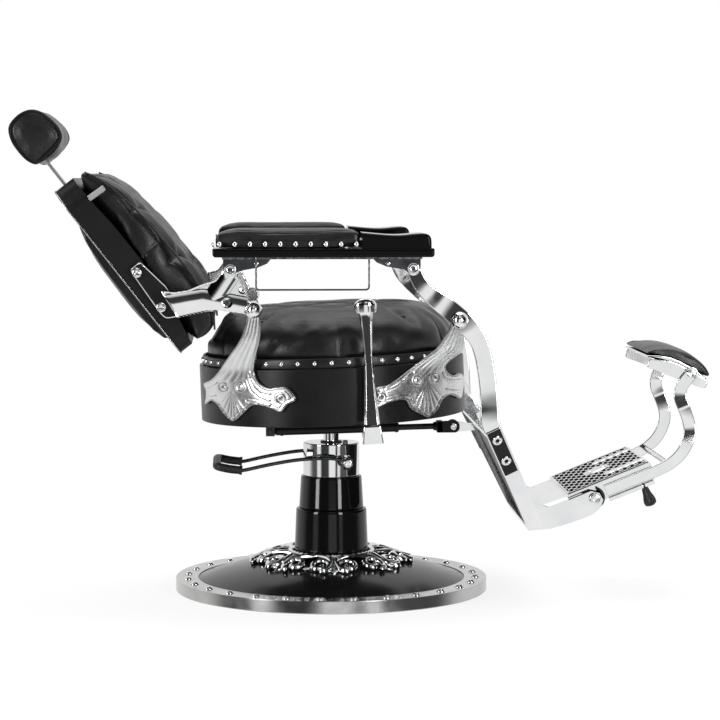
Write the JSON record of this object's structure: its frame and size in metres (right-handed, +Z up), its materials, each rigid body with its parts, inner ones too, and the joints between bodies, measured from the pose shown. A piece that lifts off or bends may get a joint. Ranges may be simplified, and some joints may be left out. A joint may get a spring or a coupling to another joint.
{
  "type": "barber chair",
  "caption": "Hydraulic barber chair: round pump base, swivel seat, reclining back with headrest, linked armrests and leg frame, folding footrest with calf pad.",
  "frame": {"origin": "on the floor at the centre of the round base", "axes": "+Z up, +X to the chair's front, -Y to the chair's right side"},
  "size_m": [1.4265, 0.74, 0.9957],
  "materials": {
    "brushed_steel": "brushed",
    "chrome": "polished chrome plate",
    "satin_black": "satin black",
    "gloss_black": "gloss black",
    "dark_steel": "dark semi-gloss",
    "leather": "soft sheen",
    "rubber": "matt",
    "cast_iron": "raw casting",
    "wood": "plywood"
  },
  "bodies": {
    "base": {"base_plate": "cast_iron", "base_ring": "brushed_steel", "base_dish": "satin_black", "base_ornament": "chrome", "pump_cylinder": "cast_iron", "lower_cover": "gloss_black", "upper_cover": "gloss_black", "sleeve_head": "chrome"},
    "pump_lever": {"pump_shaft": "dark_steel", "pump_lever": "dark_steel", "pump_grip": "rubber"},
    "lift": {"lift_piston": "chrome", "swivel_cone": "dark_steel"},
    "seat": {"seat_mount": "cast_iron", "seat_drum": "satin_black", "seat_board": "wood", "seat_nail_band": "leather", "seat_cushion": "leather", "rear_bracket_right": "chrome", "rear_bracket_left": "chrome", "front_bracket_right": "chrome", "front_bracket_left": "chrome", "rear_pivot_right": "chrome", "rear_pivot_left": "chrome", "front_pivot_right": "chrome", "front_pivot_left": "chrome", "recline_block": "dark_steel"},
    "recline_lever": {"recline_lever": "chrome"},
    "strut_cylinder": {"strut_cylinder": "satin_black"},
    "strut_rod": {"strut_rod": "satin_black"},
    "backrest": {"backrest_frame": "satin_black", "backrest_cushion": "leather", "backrest_panel": "leather", "backrest_trim": "chrome", "back_strap_right": "satin_black", "back_strap_left": "satin_black", "back_casting_right": "chrome", "back_casting_left": "chrome"},
    "headrest": {"headrest_post": "brushed_steel", "headrest_cushion": "leather"},
    "headrest_knob": {"headrest_knob": "chrome"},
    "armrest_right": {"armrest_base_right": "gloss_black", "armrest_pad_right": "leather", "armrest_nails_right": "leather", "armrest_bracket_right": "dark_steel", "towel_rail": "chrome"},
    "armrest_left": {"armrest_base_left": "gloss_black", "armrest_pad_left": "leather", "armrest_nails_left": "leather", "armrest_bracket_left": "dark_steel"},
    "leg_frame": {"leg_bar_right": "chrome", "leg_bar_left": "chrome", "leg_casting": "chrome", "leg_panel": "satin_black"},
    "footrest": {"foot_tread": "chrome"},
    "clamp_knob_right": {"clamp_knob_right": "rubber"},
    "clamp_knob_left": {"clamp_knob_left": "rubber"},
    "calf_bars": {"calf_frame": "brushed_steel"},
    "calf_rest": {"calf_shell": "chrome", "calf_pad": "leather"}
  },
  "joints": [
    {"name": "pump_stroke", "type": "hinge", "parent": "base", "child": "pump_lever", "pos_m": [0.031, 0, 0.271], "axis": [0, 1, 0], "range_deg": [-22, 0]},
    {"name": "seat_lift", "type": "slide", "parent": "base", "child": "lift", "axis": [0, 0, 1], "range_m": [-0.012, 0.15]},
    {"name": "seat_swivel", "type": "hinge", "parent": "lift", "child": "seat", "pos_m": [0, 0, 0.3505], "axis": [0, 0, 1], "continuous": true},
    {"name": "recline", "type": "hinge", "parent": "seat", "child": "backrest", "pos_m": [-0.163, 0, 0.6], "axis": [0, 1, 0], "range_deg": [-6, 17]},
    {"name": "armrest_right_link", "type": "hinge", "parent": "backrest", "child": "armrest_right", "pos_m": [-0.208, -0.315, 0.678], "axis": [0, 1, 0], "range_deg": [-18.4, 6.6]},
    {"name": "armrest_left_link", "type": "hinge", "parent": "backrest", "child": "armrest_left", "pos_m": [-0.208, 0.315, 0.678], "axis": [0, 1, 0], "range_deg": [-18.4, 6.6]},
    {"name": "leg_swing", "type": "hinge", "parent": "seat", "child": "leg_frame", "pos_m": [0.24, 0, 0.579], "axis": [0, 1, 0], "range_deg": [-4.7, 13.1]},
    {"name": "strut_swing", "type": "hinge", "parent": "seat", "child": "strut_cylinder", "pos_m": [-0.1285, -0.12, 0.342], "axis": [0, 1, 0], "range_deg": [-0.8, 0.35]},
    {"name": "strut_stroke", "type": "slide", "parent": "strut_cylinder", "child": "strut_rod", "axis": [0.9996, 0, 0.0268], "range_m": [-0.052, 0.019]},
    {"name": "recline_lever_pull", "type": "hinge", "parent": "seat", "child": "recline_lever", "pos_m": [0.0705, -0.3, 0.35], "axis": [0, 1, 0], "range_deg": [-14, 10]},
    {"name": "headrest_slide", "type": "slide", "parent": "backrest", "child": "headrest", "axis": [-0.6143, 0, 0.7891], "range_m": [-0.045, 0.08]},
    {"name": "headrest_knob_turn", "type": "hinge", "parent": "backrest", "child": "headrest_knob", "pos_m": [-0.52807, 0, 0.79889], "axis": [-0.7891, 0, -0.6143], "range_deg": [-120, 120]},
    {"name": "footrest_fold", "type": "hinge", "parent": "leg_frame", "child": "footrest", "pos_m": [0.53, 0, 0.206], "axis": [0, 1, 0], "range_deg": [-35, 20]},
    {"name": "calf_slide", "type": "slide", "parent": "footrest", "child": "calf_bars", "axis": [0.9298, 0, 0.3681], "range_m": [0, 0.07]},
    {"name": "calf_tilt", "type": "hinge", "parent": "calf_bars", "child": "calf_rest", "pos_m": [0.729, 0, 0.459], "axis": [0, 1, 0], "range_deg": [-15, 15]},
    {"name": "clamp_right_turn", "type": "hinge", "parent": "footrest", "child": "clamp_knob_right", "pos_m": [0.62763, -0.1505, 0.24465], "axis": [0.3681, 0, -0.9298], "range_deg": [-120, 120]},
    {"name": "clamp_left_turn", "type": "hinge", "parent": "footrest", "child": "clamp_knob_left", "pos_m": [0.62763, 0.1505, 0.24465], "axis": [0.3681, 0, -0.9298], "range_deg": [-120, 120]}
  ],
  "couplings": [
    {"joint": "leg_swing", "follows": "recline", "ratio": 0.7595},
    {"joint": "armrest_right_link", "follows": "recline", "ratio": -1.0707},
    {"joint": "armrest_left_link", "follows": "recline", "ratio": -1.0707},
    {"joint": "strut_swing", "follows": "recline", "ratio": -0.04145},
    {"joint": "strut_stroke", "follows": "recline", "m_per_rad": -0.171}
  ]
}
